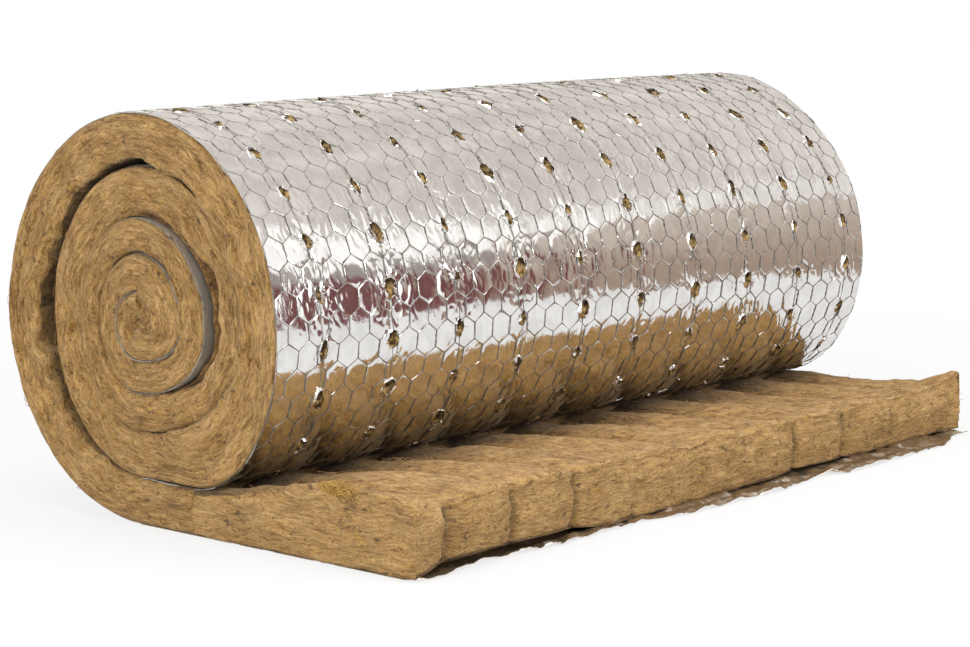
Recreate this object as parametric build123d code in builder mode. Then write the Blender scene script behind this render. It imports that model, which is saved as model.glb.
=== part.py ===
from build123d import *
import os

# A wired mat of mineral wool, rolled up with its foil face outwards and one end left unrolled.
# Millimetres, +Z up. The roll lies along Y and the unrolled end runs towards +X on the floor.

# The mat as it is cut and stitched
mat_width = 1000.0
mat_thickness = 70.0
facing_thickness = 1.5      # foil with the wire netting that lies on it
stitch_row_pitch = 100.0
quilt_depth = 7.0           # how far a row of stitches pulls the wool down
end_notch = 6.0             # how far a row of stitches pulls the cut end in

# The roll. Quarter turns are counted from the floor inwards: down, left, up, right, down and so on.
core_radius = 40.0
turn_gap = 1.0
slack_gap = 13.0            # the widest of the places where a turn has sprung loose
resting_flat = 75.0         # how far the roll lies flat on the unrolled end
core_reach_shares = (1.52, 0.95, 0.78, 0.78)
laid_wool_shares = (
    0.63, 0.68, 0.61, 0.70,
    0.61, 0.55, 0.68, 0.42,
    0.52, 0.39, 0.46, 0.41,
    0.42, 0.35, 0.51,
)
slack_shares = (
    0.0, 1.0, 0.5, 0.0,
    0.0, 0.0, 0.0, 1.0,
    0.0, 0.0, 0.0, 0.0,
    0.0, 0.0, 0.0,
)

# The unrolled end, which swells where the roll no longer lies on it, more on the near side than the far one
tail_length = 287.0         # from the edge of the resting flat to the end of the wool on the near side
tail_skew = 39.0            # how much shorter the wool's far side is cut
facing_flap = 8.0           # foil left past the wool's longest side
tail_station_shares = (0.0, 0.24, 0.62, 1.0)
tail_near_shares = (laid_wool_shares[0], 0.81, 1.05, 0.90)
tail_far_shares = (laid_wool_shares[0], 0.66, 0.72, 0.99)
tail_quilt_shares = (0.1, 0.8, 1.0, 1.0)

cut_overrun = 20.0


# Reach of the foil from the roll's middle at each quarter turn, worked outwards from the core
laid_wool = [share * mat_thickness for share in laid_wool_shares]
gaps = [turn_gap + share * slack_gap for share in slack_shares]
foil_outside = [share * core_radius for share in core_reach_shares]
for wool, gap in zip(reversed(laid_wool), reversed(gaps)):
    foil_outside.insert(0, foil_outside[3] + gap + wool + facing_thickness)
foil_inside = [reach - facing_thickness for reach in foil_outside]
wool_inside = [reach + gap for reach, gap in zip(foil_outside[4:], gaps)]

# The roll's middle stands over the floor by the first reach, and the whole part is centred along X
roll_x = (foil_outside[1] - resting_flat - tail_length - facing_flap) / 2
tail_x = roll_x + resting_flat
roll_z = foil_outside[0]
roll_top = roll_z + max(foil_outside)
side = mat_width / 2

# Rows of stitches across the mat, the outer two half a pitch from its sides
row_count = max(2, round(mat_width / stitch_row_pitch))
row_places = [stitch_row_pitch * (row - (row_count - 1) / 2) for row in range(row_count)]


def quarter_turn(quarter, reach, next_reach, middle_x):
    across, upright = (reach, next_reach) if quarter % 2 else (next_reach, reach)
    start_angle = (270 - 90 * quarter) % 360
    EllipticalCenterArc((middle_x, roll_z), across, upright, start_angle, arc_size=-90)


def spiral(reaches, resting_quarter=None):
    for quarter, (reach, next_reach) in enumerate(zip(reaches, reaches[1:])):
        if quarter == resting_quarter:
            quarter_turn(quarter, reach - resting_flat, next_reach, tail_x)
            Line((tail_x, roll_z - next_reach), (roll_x, roll_z - next_reach))
        else:
            quarter_turn(quarter, reach, next_reach, roll_x)


def quilted_edge(point_at):
    # A bulge between each two rows of stitches, and half a bulge out to each side of the mat
    Bezier(point_at(-side, 1), point_at((row_places[0] - side) / 2, 1), point_at(row_places[0], 0))
    for row, next_row in zip(row_places, row_places[1:]):
        Bezier(point_at(row, 0), point_at((row + next_row) / 2, 2), point_at(next_row, 0))
    Bezier(point_at(row_places[-1], 0), point_at((row_places[-1] + side) / 2, 1), point_at(side, 1))


def across_mat(near, far, y):
    return near + (far - near) * (y + side) / mat_width


def tail_end_x(y):
    return tail_x + across_mat(tail_length, tail_length - tail_skew, y)


# Wool: the unrolled end is lofted through quilted sections, cut to its puffed end, and runs into the roll
with BuildPart() as wool_mat:
    stations = zip(tail_station_shares, tail_near_shares, tail_far_shares, tail_quilt_shares)
    for station_share, near_share, far_share, quilt_share in stations:
        near_crest = facing_thickness + near_share * mat_thickness
        far_crest = facing_thickness + far_share * mat_thickness
        dip = quilt_share * quilt_depth
        with BuildSketch(Plane.YZ.offset(tail_x + station_share * (tail_length + cut_overrun))):
            with BuildLine():
                quilted_edge(lambda y, rise: (y, across_mat(near_crest, far_crest, y) - dip + rise * dip))
                Polyline(
                    (side, far_crest),
                    (side, facing_thickness),
                    (-side, facing_thickness),
                    (-side, near_crest),
                )
            make_face()
    loft()

    with BuildSketch():
        with BuildLine():
            quilted_edge(lambda y, rise: (tail_end_x(y) - end_notch + rise * end_notch, y))
            Polyline(
                (tail_end_x(side), side),
                (tail_x - cut_overrun, side),
                (tail_x - cut_overrun, -side),
                (tail_end_x(-side), -side),
            )
        make_face()
    extrude(amount=roll_top, mode=Mode.INTERSECT)

    with BuildSketch(Plane.XZ):
        with BuildLine():
            spiral(foil_inside, resting_quarter=3)
            spiral(wool_inside)
            Line((roll_x, roll_z + foil_inside[-1]), (roll_x, roll_z + wool_inside[-1]))
            Polyline(
                (roll_x, roll_z - foil_inside[0]),
                (tail_x, roll_z - foil_inside[0]),
                (tail_x, roll_z - wool_inside[0]),
                (roll_x, roll_z - wool_inside[0]),
            )
        make_face()
    extrude(amount=side, both=True)

# Foil facing: one sheet under the unrolled end and round the outside of every turn
with BuildPart() as foil_facing:
    flap_x = tail_x + tail_length + facing_flap
    with BuildSketch(Plane.XZ):
        with BuildLine():
            spiral(foil_outside, resting_quarter=3)
            spiral(foil_inside, resting_quarter=3)
            Line((roll_x, roll_z + foil_outside[-1]), (roll_x, roll_z + foil_inside[-1]))
            Polyline((roll_x, 0), (flap_x, 0), (flap_x, facing_thickness), (roll_x, facing_thickness))
        make_face()
    extrude(amount=side, both=True)

os.makedirs("parts", exist_ok=True)
wool_mat.part.label = "wool_mat"
export_step(wool_mat.part, "parts/wool_mat.step")
foil_facing.part.label = "foil_facing"
export_step(foil_facing.part, "parts/foil_facing.step")
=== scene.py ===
import math

import bpy
import numpy as np
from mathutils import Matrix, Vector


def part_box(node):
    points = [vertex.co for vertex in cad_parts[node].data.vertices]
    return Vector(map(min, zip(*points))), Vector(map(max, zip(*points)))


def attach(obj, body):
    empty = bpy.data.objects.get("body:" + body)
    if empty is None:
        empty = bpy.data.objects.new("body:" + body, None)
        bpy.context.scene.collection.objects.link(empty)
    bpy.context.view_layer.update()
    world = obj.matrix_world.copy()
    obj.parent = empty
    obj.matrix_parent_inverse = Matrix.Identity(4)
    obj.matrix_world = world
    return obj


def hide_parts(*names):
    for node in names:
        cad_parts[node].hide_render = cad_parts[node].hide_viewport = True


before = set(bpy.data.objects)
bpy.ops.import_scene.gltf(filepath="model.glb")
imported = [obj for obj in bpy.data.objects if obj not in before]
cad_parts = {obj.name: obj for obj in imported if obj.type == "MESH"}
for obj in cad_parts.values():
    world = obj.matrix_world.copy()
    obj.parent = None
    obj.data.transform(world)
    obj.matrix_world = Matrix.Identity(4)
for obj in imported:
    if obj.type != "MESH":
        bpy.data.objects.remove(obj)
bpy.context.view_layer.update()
foilLow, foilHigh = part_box("foil_facing")
print("frame loaded")


# Small tools of the script

def clearSelection():
    if bpy.context.mode != 'OBJECT':
        bpy.ops.object.mode_set(mode='OBJECT')
    bpy.ops.object.select_all(action='DESELECT')


def activate(piece):
    clearSelection()
    piece.select_set(True)
    bpy.context.view_layer.objects.active = piece


def editAll(piece):
    activate(piece)
    bpy.ops.object.mode_set(mode='EDIT')
    bpy.ops.mesh.select_all(action='SELECT')


def namePiece(name):        # the object that was added last
    piece = bpy.context.active_object
    piece.name = name
    piece.data.name = name
    return piece


def addPiece(name, operation, **settings):
    clearSelection()
    operation(**settings)
    bpy.ops.object.transform_apply(location=True, rotation=True, scale=True)
    return namePiece(name)


def editMesh(piece, operation, **settings):
    editAll(piece)
    operation(**settings)
    bpy.ops.object.mode_set(mode='OBJECT')


def mergeDoubles(piece, within=1e-5):
    editMesh(piece, bpy.ops.mesh.remove_doubles, threshold=within)


def faceOutwards(piece):
    editMesh(piece, bpy.ops.mesh.normals_make_consistent, inside=False)


def closeTubes(piece):      # joins the sections of tubes and caps their open ends
    mergeDoubles(piece)
    editMesh(piece, bpy.ops.mesh.fill_holes, sides=8)
    faceOutwards(piece)


def trimSheet(piece, place, direction):     # cuts away all that lies past the place
    editMesh(piece, bpy.ops.mesh.bisect, plane_co=place, plane_no=direction, clear_outer=True)


def repeatPiece(piece, count, step):
    activate(piece)
    bpy.ops.object.modifier_add(type='ARRAY')
    row = piece.modifiers[-1]
    row.use_relative_offset = False
    row.use_constant_offset = True
    row.constant_offset_displace = step
    row.count = count
    bpy.ops.object.modifier_apply(modifier=row.name)


def thickenSheet(piece, thickness, offset):
    activate(piece)
    bpy.ops.object.modifier_add(type='SOLIDIFY')
    wall = piece.modifiers[-1]
    wall.thickness = thickness
    wall.offset = offset
    bpy.ops.object.modifier_apply(modifier=wall.name)


def movePiece(piece, place):
    activate(piece)
    piece.location = place
    bpy.ops.object.transform_apply(location=True, rotation=False, scale=False)


def joinPieces(pieces, name):
    clearSelection()
    for piece in pieces:
        piece.select_set(True)
    bpy.context.view_layer.objects.active = pieces[0]
    bpy.ops.object.join()
    return namePiece(name)


def readPoints(piece):
    points = np.empty(len(piece.data.vertices) * 3, dtype=np.float32)
    piece.data.vertices.foreach_get("co", points)
    return points.reshape(-1, 3).astype(float)


def writePoints(piece, points):
    piece.data.vertices.foreach_set("co", points.astype(np.float32).ravel())
    piece.data.update()


def markPoints(piece, name, values, kind='FLOAT', field="value"):
    mark = piece.data.attributes.new(name, kind, 'POINT')
    mark.data.foreach_set(field, values.astype(np.float32).ravel())


def markFlow(piece, flow):      # the point's place in the flat mat, which the finishes follow
    markPoints(piece, "matFlow", flow, 'FLOAT_VECTOR', "vector")


def markPaintedShade(piece, gap):        # painted shade, 1 where it is darkest: where the wool lies deep in a gap, and where a wire lies in the roll's shade
    markPoints(piece, "paintedShade", gap)


def smoothShade(piece, angle):
    activate(piece)
    bpy.ops.object.shade_smooth_by_angle(angle=math.radians(angle))


def finishPiece(piece, finish, node):
    piece.data.materials.clear()
    piece.data.materials.append(finish)
    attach(piece, "root")
    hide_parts(node)
    print("made", piece.name, sum(len(face.vertices) - 2 for face in piece.data.polygons), "triangles")


noiseTable = np.random.default_rng(11).random(8192) * 2 - 1


def softNoise(points, size, seed):      # from -1 to 1, smooth over the given size each way
    place = np.asarray(points) / np.asarray(size) + 512
    cell = np.floor(place).astype(int)
    part = place - cell
    part = part * part * (3 - 2 * part)
    total = np.zeros(len(place))
    for dx in (0, 1):
        for dy in (0, 1):
            for dz in (0, 1):
                spot = (cell[:, 0] + dx) * 73 + (cell[:, 1] + dy) * 1531 + (cell[:, 2] + dz) * 4177
                share = np.prod(np.abs(1 - np.array((dx, dy, dz)) - part), axis=1)
                total += noiseTable[(spot + seed * 617) % len(noiseTable)] * share
    return total


def easeIn(value):
    value = np.clip(value, 0, 1)
    return value * value * (3 - 2 * value)


# The mat: the same sizes as in the part's source, in metres
mat = {
    "thickness": 0.070,
    "facing": 0.0015,           # foil and netting together
    "rowPitch": 0.100,          # between rows of stitches across the mat
    "stitchPitch": 0.0519,      # between stitches along a row
    "rowShift": 0.013,          # how far the seen rows lie off their even places
    "rowSkew": 0.05,            # and how far they drift across the mat along it
    "firstStitch": 0.0125,      # past the roll's right side
    "coreRadius": 0.040,
    "turnGap": 0.001,
    "slackGap": 0.013,
    "restingFlat": 0.075,
    "coreShares": (1.52, 0.95, 0.78, 0.78),
    "woolShares": (0.63, 0.68, 0.61, 0.70, 0.61, 0.55, 0.68, 0.42, 0.52, 0.39, 0.46, 0.41, 0.42, 0.35, 0.51),
    "slackShares": (0, 1, 0.5, 0, 0, 0, 0, 1, 0, 0, 0, 0, 0, 0, 0),
    "farSag": 0.013,            # how far the far end has sunk at its upper right
    "sagAngle": 58,
    "sagSpread": 36,
    "sagFrom": 0.10,
}

turnGaps = [mat["turnGap"] + share * mat["slackGap"] for share in mat["slackShares"]]
foilOutside = [share * mat["coreRadius"] for share in mat["coreShares"]]
for woolShare, turnGap in zip(reversed(mat["woolShares"]), reversed(turnGaps)):
    foilOutside.insert(0, foilOutside[3] + turnGap + woolShare * mat["thickness"] + mat["facing"])
foilOutside = np.array(foilOutside)
foilInside = foilOutside - mat["facing"]
woolInside = foilOutside[4:] + turnGaps

side = foilHigh[1]
flapX = foilHigh[0]
rollX = foilLow[0] + foilOutside[1]
rollZ = foilOutside[0]
tailX = rollX + mat["restingFlat"]
lastTurn = len(foilOutside) - 1         # counted in quarter turns from the floor inwards
lastWool = len(woolInside) - 1
restingQuarter = 3
arcPart = 0.8                           # share of the resting quarter that is still round


def spiralPoint(reaches, turn, resting=0.0):
    quarter = np.clip(np.floor(turn).astype(int), 0, len(reaches) - 2)
    share = turn - quarter
    upFirst = quarter % 2 == 0
    across = np.where(upFirst, reaches[quarter + 1], reaches[quarter])
    upright = np.where(upFirst, reaches[quarter], reaches[quarter + 1])
    shift = np.where(quarter == restingQuarter, resting, 0.0)
    bend = np.where(shift > 0, np.minimum(share / arcPart, 1), share)
    angle = np.radians(270 - 90 * (quarter + bend))
    slide = np.clip((share - arcPart) / (1 - arcPart), 0, 1) * shift
    x = rollX + shift - slide + (across - shift) * np.cos(angle)
    return x, rollZ + upright * np.sin(angle)


# The mat's path, from the end of the flap along the floor and round the roll to its core
pathTurn = np.linspace(0, lastTurn, lastTurn * 80 + 1)
pathX, pathZ = spiralPoint(foilInside, pathTurn, mat["restingFlat"])
pathX = np.concatenate(([flapX], pathX))
pathZ = np.concatenate(([mat["facing"]], pathZ))
pathTurn = np.concatenate(([0.0], pathTurn))
pathS = np.concatenate(([0.0], np.cumsum(np.hypot(np.diff(pathX), np.diff(pathZ)))))
tangentX = np.gradient(pathX, pathS)
tangentZ = np.gradient(pathZ, pathS)

nipS = flapX - tailX                    # where the roll leaves the unrolled end
floorS = flapX - rollX
coreS = pathS[-1]


def pathAtTurn(turn):
    return np.interp(turn, pathTurn[1:], pathS[1:])


hiddenS = pathAtTurn(4.0)               # from here inwards the foil lies inside the roll


def settle(points):
    x = points[:, 0] - rollX
    z = points[:, 2] - rollZ
    reach = np.hypot(x, z)
    angle = np.degrees(np.arctan2(z, x))
    ramp = np.clip((points[:, 1] - mat["sagFrom"]) / (side - mat["sagFrom"]), 0, 1) ** 1.5
    sag = mat["farSag"] * ramp * np.exp(-((angle - mat["sagAngle"]) / mat["sagSpread"]) ** 2)
    sag *= np.clip(reach / foilOutside[0], 0, 1) ** 2
    keep = 1 - sag / np.maximum(reach, 1e-6)
    settled = points.copy()
    settled[:, 0] = rollX + x * keep
    settled[:, 2] = np.maximum(rollZ + z * keep, 0.0002)        # nothing sinks into the floor
    return settled


def matPoint(s, lift):
    x = np.interp(s, pathS, pathX)
    z = np.interp(s, pathS, pathZ)
    outX = -np.interp(s, pathS, tangentZ)
    outZ = np.interp(s, pathS, tangentX)
    return x + outX * lift, z + outZ * lift


def rollUp(flat):           # along the mat, across it and out of its foil side, to its place in the roll
    x, z = matPoint(flat[:, 0], flat[:, 2])
    return settle(np.column_stack((x, tuckEdges(flat)[:, 1], z)))


def rowOffset(y):           # distance to the nearest row of stitches
    share = (y / mat["rowPitch"]) % 1.0
    return (share - 0.5) * mat["rowPitch"]


rightS = pathAtTurn(3.0)
stitchStart = (rightS + mat["firstStitch"]) % mat["stitchPitch"]


def rowDrift(s):
    return mat["rowShift"] + mat["rowSkew"] * (s - rightS)


def stitchOffset(s):
    share = ((s - stitchStart) / mat["stitchPitch"] + 0.5) % 1.0
    return (share - 0.5) * mat["stitchPitch"]


def stitchDistance(flat):       # from the nearest stitch on the foil side
    return np.hypot(stitchOffset(flat[:, 0]), rowOffset(flat[:, 1] - rowDrift(flat[:, 0])))


stand = {                       # how far the cut ends of the turns stand out, by quarter turns
    "turns": (0, 3.8, 4.3, 5.5, 6.3, 7.6, 8.1, 9.0, 10.2, 12.0, 12.4, 18),
    "heights": (0, 0, -0.004, -0.004, -0.008, -0.007, -0.002, 0.001, 0.003, 0.002, 0.001, 0.003),
}
tuck = {                        # how far the foil's edge lies inside the wool, by quarter turns
    "turns": (0, 1.7, 2.1, 3.9, 4.3, 9.8, 10.1, 12.2, 12.5, 13.8, 14.1, 18),
    "depths": (0.006, 0.006, 0, 0, 0.008, 0.008, 0.001, 0.001, 0.008, 0.008, 0.0005, 0.0005),
    "ragged": 0.0022,
    "reach": 0.050,
}


def turnAt(s):
    return np.interp(s, pathS[1:], pathTurn[1:])


def tuckEdges(flat):
    turn = turnAt(flat[:, 0])
    place = np.column_stack((flat[:, 0], np.sign(flat[:, 1]), 0 * turn))
    ragged = tuck["ragged"] * np.abs(softNoise(place, (0.017, 1, 1), 76)) * np.clip(turn - 4, 0, 1)
    depth = np.interp(turn, tuck["turns"], tuck["depths"]) + ragged
    depth -= np.interp(turn, stand["turns"], stand["heights"])
    near = easeIn((np.abs(flat[:, 1]) - side + tuck["reach"]) / tuck["reach"])
    tucked = flat.copy()
    tucked[:, 1] -= np.sign(flat[:, 1]) * depth * near
    return tucked


def flatBlock(name, cuts):      # a closed block of 1 each way, from six grids with their own cuts
    along, across, through = cuts
    quarter = math.pi / 2
    walls = (
        (along, across, (0, 0, 0.5), (0, 0, 0)),
        (along, across, (0, 0, -0.5), (0, 0, 0)),
        (along, through, (0, 0.5, 0), (quarter, 0, 0)),
        (along, through, (0, -0.5, 0), (quarter, 0, 0)),
        (through, across, (0.5, 0, 0), (0, quarter, 0)),
        (through, across, (-0.5, 0, 0), (0, quarter, 0)),
    )
    grids = []
    clearSelection()
    for xCuts, yCuts, place, turn in walls:
        bpy.ops.mesh.primitive_grid_add(
            x_subdivisions=xCuts, y_subdivisions=yCuts, size=1, location=place, rotation=turn)
        bpy.ops.object.transform_apply(location=True, rotation=True, scale=True)
        grids.append(bpy.context.active_object)
    piece = joinPieces(grids, name)
    mergeDoubles(piece)
    faceOutwards(piece)
    return piece


onFace = 0.9999                 # how far out a point of a block lies on its face


# Finishes

tree = {}                       # the node tree that is being made


def openTree(owner):
    owner.use_nodes = True
    tree["nodes"], tree["links"] = owner.node_tree.nodes, owner.node_tree.links


def newFinish(name):
    finish = bpy.data.materials.new(name)
    openTree(finish)
    return finish, tree["nodes"]["Principled BSDF"]


def addNode(kind, **settings):
    node = tree["nodes"].new("ShaderNode" + kind)
    for name, value in settings.items():
        setattr(node, name, value)
    return node


def link(source, socket):
    tree["links"].new(source, socket)


def feed(socket, value):        # a number, a colour or another node's output
    if isinstance(value, (int, float)):
        socket.default_value = value
    elif isinstance(value, tuple):
        socket.default_value = (*value, 1)
    else:
        link(value, socket)


def setInputs(node, values):
    for name, value in values.items():
        feed(node.inputs[name], value)


def readMark(name, output="Fac"):
    return addNode("Attribute", attribute_name=name).outputs[output]


def addVector(operation, *values, output="Vector"):
    node = addNode("VectorMath", operation=operation)
    for socket, value in zip(node.inputs, values):
        if isinstance(value, tuple):
            socket.default_value = value
        else:
            link(value, socket)
    return node.outputs[output]


def addNoise(source, stretch, scale, detail, rough, output="Fac"):
    mapping = addNode("Mapping")
    mapping.inputs["Scale"].default_value = stretch
    link(source, mapping.inputs["Vector"])
    noise = addNode("TexNoise")
    setInputs(noise, {"Scale": scale, "Detail": detail, "Roughness": rough})
    link(mapping.outputs["Vector"], noise.inputs["Vector"])
    return noise.outputs[output]


def addRamp(source, stops):
    ramp = addNode("ValToRGB")
    steps = ramp.color_ramp.elements
    while len(steps) < len(stops):
        steps.new(0.5)
    for step, (place, colour) in zip(steps, stops):
        step.position = place
        step.color = (*colour, 1)
    link(source, ramp.inputs["Fac"])
    return ramp.outputs["Color"]


def addMath(operation, first, second):
    node = addNode("Math", operation=operation)
    for socket, value in zip(node.inputs, (first, second)):
        feed(socket, value)
    return node.outputs[0]


def times(first, second):
    return addMath('MULTIPLY', first, second)


def plus(first, second):
    return addMath('ADD', first, second)


def minus(first, second):
    return addMath('SUBTRACT', first, second)


def over(first, second):
    return addMath('DIVIDE', first, second)


def mixColours(blend, factor, first, second):
    mix = addNode("Mix", data_type='RGBA', blend_type=blend)
    for socket, value in ((mix.inputs[0], factor), (mix.inputs[6], first), (mix.inputs[7], second)):
        feed(socket, value)
    return mix.outputs[2]


def applyPaintedShade(colour, stops):       # darkens the colour by the marked painted shade
    return mixColours('MULTIPLY', 1.0, colour, addRamp(readMark("paintedShade"), stops))


def addRange(source, start, end, low, high, change='SMOOTHSTEP'):
    node = addNode("MapRange", interpolation_type=change)
    setInputs(node, {"Value": source, "From Min": start, "From Max": end, "To Min": low, "To Max": high})
    return node.outputs["Result"]


def addBump(shader, height, distance):
    bump = addNode("Bump")
    setInputs(bump, {"Strength": 1.0, "Distance": distance, "Height": height})
    link(bump.outputs["Normal"], shader.inputs["Normal"])


woolLook = {
    "dark": (0.178, 0.084, 0.020),
    "body": (0.455, 0.256, 0.077),
    "light": (0.680, 0.435, 0.174),
    "binder": (0.60, 0.36, 0.05),
    "pit": 0.42,                # what is left of the colour in the small pits, as painted shade in them
    "hole": 0.38,               # in the larger holes, as painted shade too
    "gap": 0.15,                # and under the fullest painted shade, as deep in a gap
    "calm": 0.55,               # how much smoother the mat's own face is
    "fluff": 0.42,              # the strands that lie on it
    "fluffLevel": 0.535,
    "bump": 0.0055,
}


def makeWoolFinish():
    finish, shader = newFinish("mineralWool")
    flow = readMark("matFlow", "Vector")
    waves = addNoise(flow, (1, 1, 1.2), 30, 2, 0.5, "Color")
    place = addVector('MULTIPLY_ADD', waves, (0.006, 0.006, 0.013), flow)        # the layers run in waves
    layers = addNoise(place, (1.0, 1.1, 8.0), 48, 5, 0.70)
    strands = addNoise(place, (1.0, 1.2, 4.5), 270, 3, 0.70)
    blotches = addNoise(place, (1.0, 1.0, 1.6), 20, 2, 0.5)
    mixed = times(layers, 0.48)
    mixed = plus(mixed, times(strands, 0.34))
    mixed = plus(mixed, times(blotches, 0.18))
    felt = readMark("woolFelt")
    calm = minus(1.0, times(felt, woolLook["calm"]))
    fluff = addNoise(place, (0.5, 1.6, 1.0), 150, 4, 0.68)
    fluffy = times(minus(fluff, woolLook["fluffLevel"]), woolLook["fluff"])
    fluffy = times(fluffy, felt)
    mixed = times(minus(mixed, 0.5), calm)
    mixed = plus(plus(mixed, 0.5), fluffy)
    stops = ((0.395, woolLook["dark"]), (0.49, woolLook["body"]), (0.61, woolLook["light"]))
    base = addRamp(mixed, stops)
    flecks = addNoise(place, (1.0, 1.0, 2.5), 70, 2, 0.5)
    fleckMask = addRamp(flecks, ((0.66, (0, 0, 0)), (0.74, (0.6, 0.6, 0.6))))
    colour = mixColours('MIX', fleckMask, base, woolLook["binder"])
    # painted shade in the pits and holes, which the bump also sinks
    pits = addNoise(place, (0.8, 0.9, 4.0), 230, 2, 0.6)
    pitStops = ((0.575, (1, 1, 1)), (0.68, (woolLook["pit"],) * 3))
    pitMask = addRamp(pits, pitStops)
    colour = mixColours('MULTIPLY', calm, colour, pitMask)
    holes = addNoise(place, (1.0, 1.1, 1.9), 78, 2, 0.5)
    holeMask = addRamp(holes, ((0.64, (1, 1, 1)), (0.74, (woolLook["hole"],) * 3)))
    colour = mixColours('MULTIPLY', calm, colour, holeMask)
    # painted shade from the marks: deep in gaps, in creases and seams, and as the roll's shadow in front of
    # it
    colour = applyPaintedShade(colour, ((0.0, (1, 1, 1)), (1.0, (woolLook["gap"],) * 3)))
    link(colour, shader.inputs["Base Color"])
    setInputs(shader, {"Roughness": 0.95, "Specular IOR Level": 0.12,
                       "Sheen Weight": 0.12, "Sheen Roughness": 0.6})
    height = minus(mixed, times(pits, 0.25))
    hole = times(holeMask, 0.25)
    height = plus(height, hole)
    addBump(shader, height, woolLook["bump"])
    return finish


foilLook = {
    "colour": (0.78, 0.765, 0.745),
    "inner": (0.38, 0.30, 0.205),
    "between": (0.52, 0.47, 0.40),
    "bare": (0.86, 0.84, 0.81),         # where no wool sticks to the foil's wool side
    "foldHeight": 0.0022,       # of the folds that run out from the stitches
    "foldFrom": 0.002,
    "foldTo": 0.022,
    "foldShare": 0.55,
    "crumpleTo": 0.058,         # how far from a stitch the foil is crumpled
    "crumple": 0.85,
    "dullSpread": 0.08,
    "crinkle": 0.05,            # share of that height on the open foil
}


def addFade(source, start, end):        # 1 up to the start, 0 from the end on
    return addRange(source, start, end, 1.0, 0.0)


def addStitchFolds(place):    # folds that run out from the nearest stitch
    parts = addNode("SeparateXYZ")
    link(place, parts.inputs[0])
    s, y = parts.outputs["X"], parts.outputs["Y"]
    along = over(minus(s, stitchStart), mat["stitchPitch"])
    along = plus(along, 0.5)
    drift = times(minus(s, rightS), mat["rowSkew"])
    across = minus(minus(y, drift), mat["rowShift"])
    across = over(across, mat["rowPitch"])
    offset = addNode("CombineXYZ")
    number = addNode("CombineXYZ")
    for axis, (share, pitch) in enumerate(((along, mat["stitchPitch"]), (across, mat["rowPitch"]))):
        part = minus(addMath('FRACT', share, 0.0), 0.5)
        link(times(part, pitch), offset.inputs[axis])
        link(times(addMath('FLOOR', share, 0.0), 7.3), number.inputs[axis])
    heading = addVector('NORMALIZE', offset.outputs[0])
    length = addVector('LENGTH', offset.outputs[0], output="Value")
    own = addVector('ADD', heading, number.outputs[0])              # each stitch has its own folds
    folds = addNoise(own, (1, 1, 1), 1.7, 2, 0.5)
    height = times(folds, foilLook["foldShare"])
    height = times(height, addFade(length, foilLook["foldFrom"], foilLook["foldTo"]))
    facets = addNoise(place, (1.0, 1.4, 1.0), 52, 1, 0.4)
    creases = addMath('ABSOLUTE', minus(facets, 0.5), 0.0)
    creases = times(creases, foilLook["crumple"])
    patches = addNoise(place, (1, 1, 1), 11, 1, 0.5)
    mask = addFade(length, 0.008, foilLook["crumpleTo"])
    mask = times(mask, times(patches, 2.0))
    return plus(height, times(creases, mask))


def makeFoilFinish(name, colour, metal, crinkle, dull, stitched, bare=False):
    finish, shader = newFinish(name)
    place = readMark("matFlow", "Vector")
    tint = addNoise(place, (1, 1, 1), 45, 2, 0.5)
    darker = tuple(0.90 * part for part in colour)
    stops = [(0.40, darker), (0.58, colour)]
    if bare:
        stops += [(0.60, colour), (0.65, foilLook["bare"])]
    base = addRamp(tint, stops)
    link(base, shader.inputs["Base Color"])
    shader.inputs["Metallic"].default_value = metal
    dullness = addNoise(place, (1, 1, 1), 120, 2, 0.5)
    rough = addRange(dullness, 0.0, 1.0, dull, dull + foilLook["dullSpread"], 'LINEAR')
    link(rough, shader.inputs["Roughness"])
    ripples = addNoise(place, (1.0, 1.3, 1.0), 130, 3, 0.6)
    patches = addNoise(place, (1, 1, 1), 16, 1, 0.5)
    strength = addRamp(patches, ((0.42, (0.3, 0.3, 0.3)), (0.66, (1.6, 1.6, 1.6))))
    height = times(ripples, strength)
    height = times(height, crinkle)
    if stitched:
        height = plus(height, addStitchFolds(place))
    addBump(shader, height, foilLook["foldHeight"])
    return finish


def makeWireFinish():
    finish, shader = newFinish("galvanisedWire")
    place = addNode("TexCoord").outputs["Object"]
    spangle = addNoise(place, (1, 1, 1), 220, 2, 0.5)
    stops = ((0.38, (0.26, 0.245, 0.22)), (0.62, (0.52, 0.495, 0.455)))
    base = addRamp(spangle, stops)
    # painted shade, with a brown painted reflection of the wool, by the marks on the wires
    shadeStops = ((0.0, (1, 1, 1)), (0.4, (0.56, 0.56, 0.56)), (1.0, (0.23, 0.18, 0.12)))
    colour = applyPaintedShade(base, shadeStops)
    link(colour, shader.inputs["Base Color"])
    setInputs(shader, {"Metallic": 0.25, "Roughness": 0.55, "Specular IOR Level": 0.3})
    return finish


def makeSlitFinish():
    finish, shader = newFinish("slitWool")
    place = addNode("TexCoord").outputs["Object"]
    strands = addNoise(place, (1, 1, 1), 170, 3, 0.6)
    # the dark tones are painted shade inside the slit
    stops = ((0.38, (0.040, 0.023, 0.010)), (0.48, (0.16, 0.097, 0.037)), (0.60, (0.42, 0.285, 0.115)))
    base = addRamp(strands, stops)
    colour = applyPaintedShade(base, ((0.3, (1, 1, 1)), (1.0, (0.12, 0.11, 0.10))))
    link(colour, shader.inputs["Base Color"])
    setInputs(shader, {"Roughness": 0.95, "Specular IOR Level": 0.1})
    addBump(shader, strands, 0.002)
    return finish


woolFinish = makeWoolFinish()
foilFinish = makeFoilFinish("aluminiumFoil", foilLook["colour"], 1.0, foilLook["crinkle"], 0.045, True)
foilInnerFinish = makeFoilFinish("foilWoolSide", foilLook["inner"], 0.75, 1.0, 0.15, False, True)
foilTurnsFinish = makeFoilFinish("foilBetweenTurns", foilLook["between"], 0.5, 0.6, 0.30, False)
wireFinish = makeWireFinish()
slitFinish = makeSlitFinish()
print("finishes made")


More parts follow.
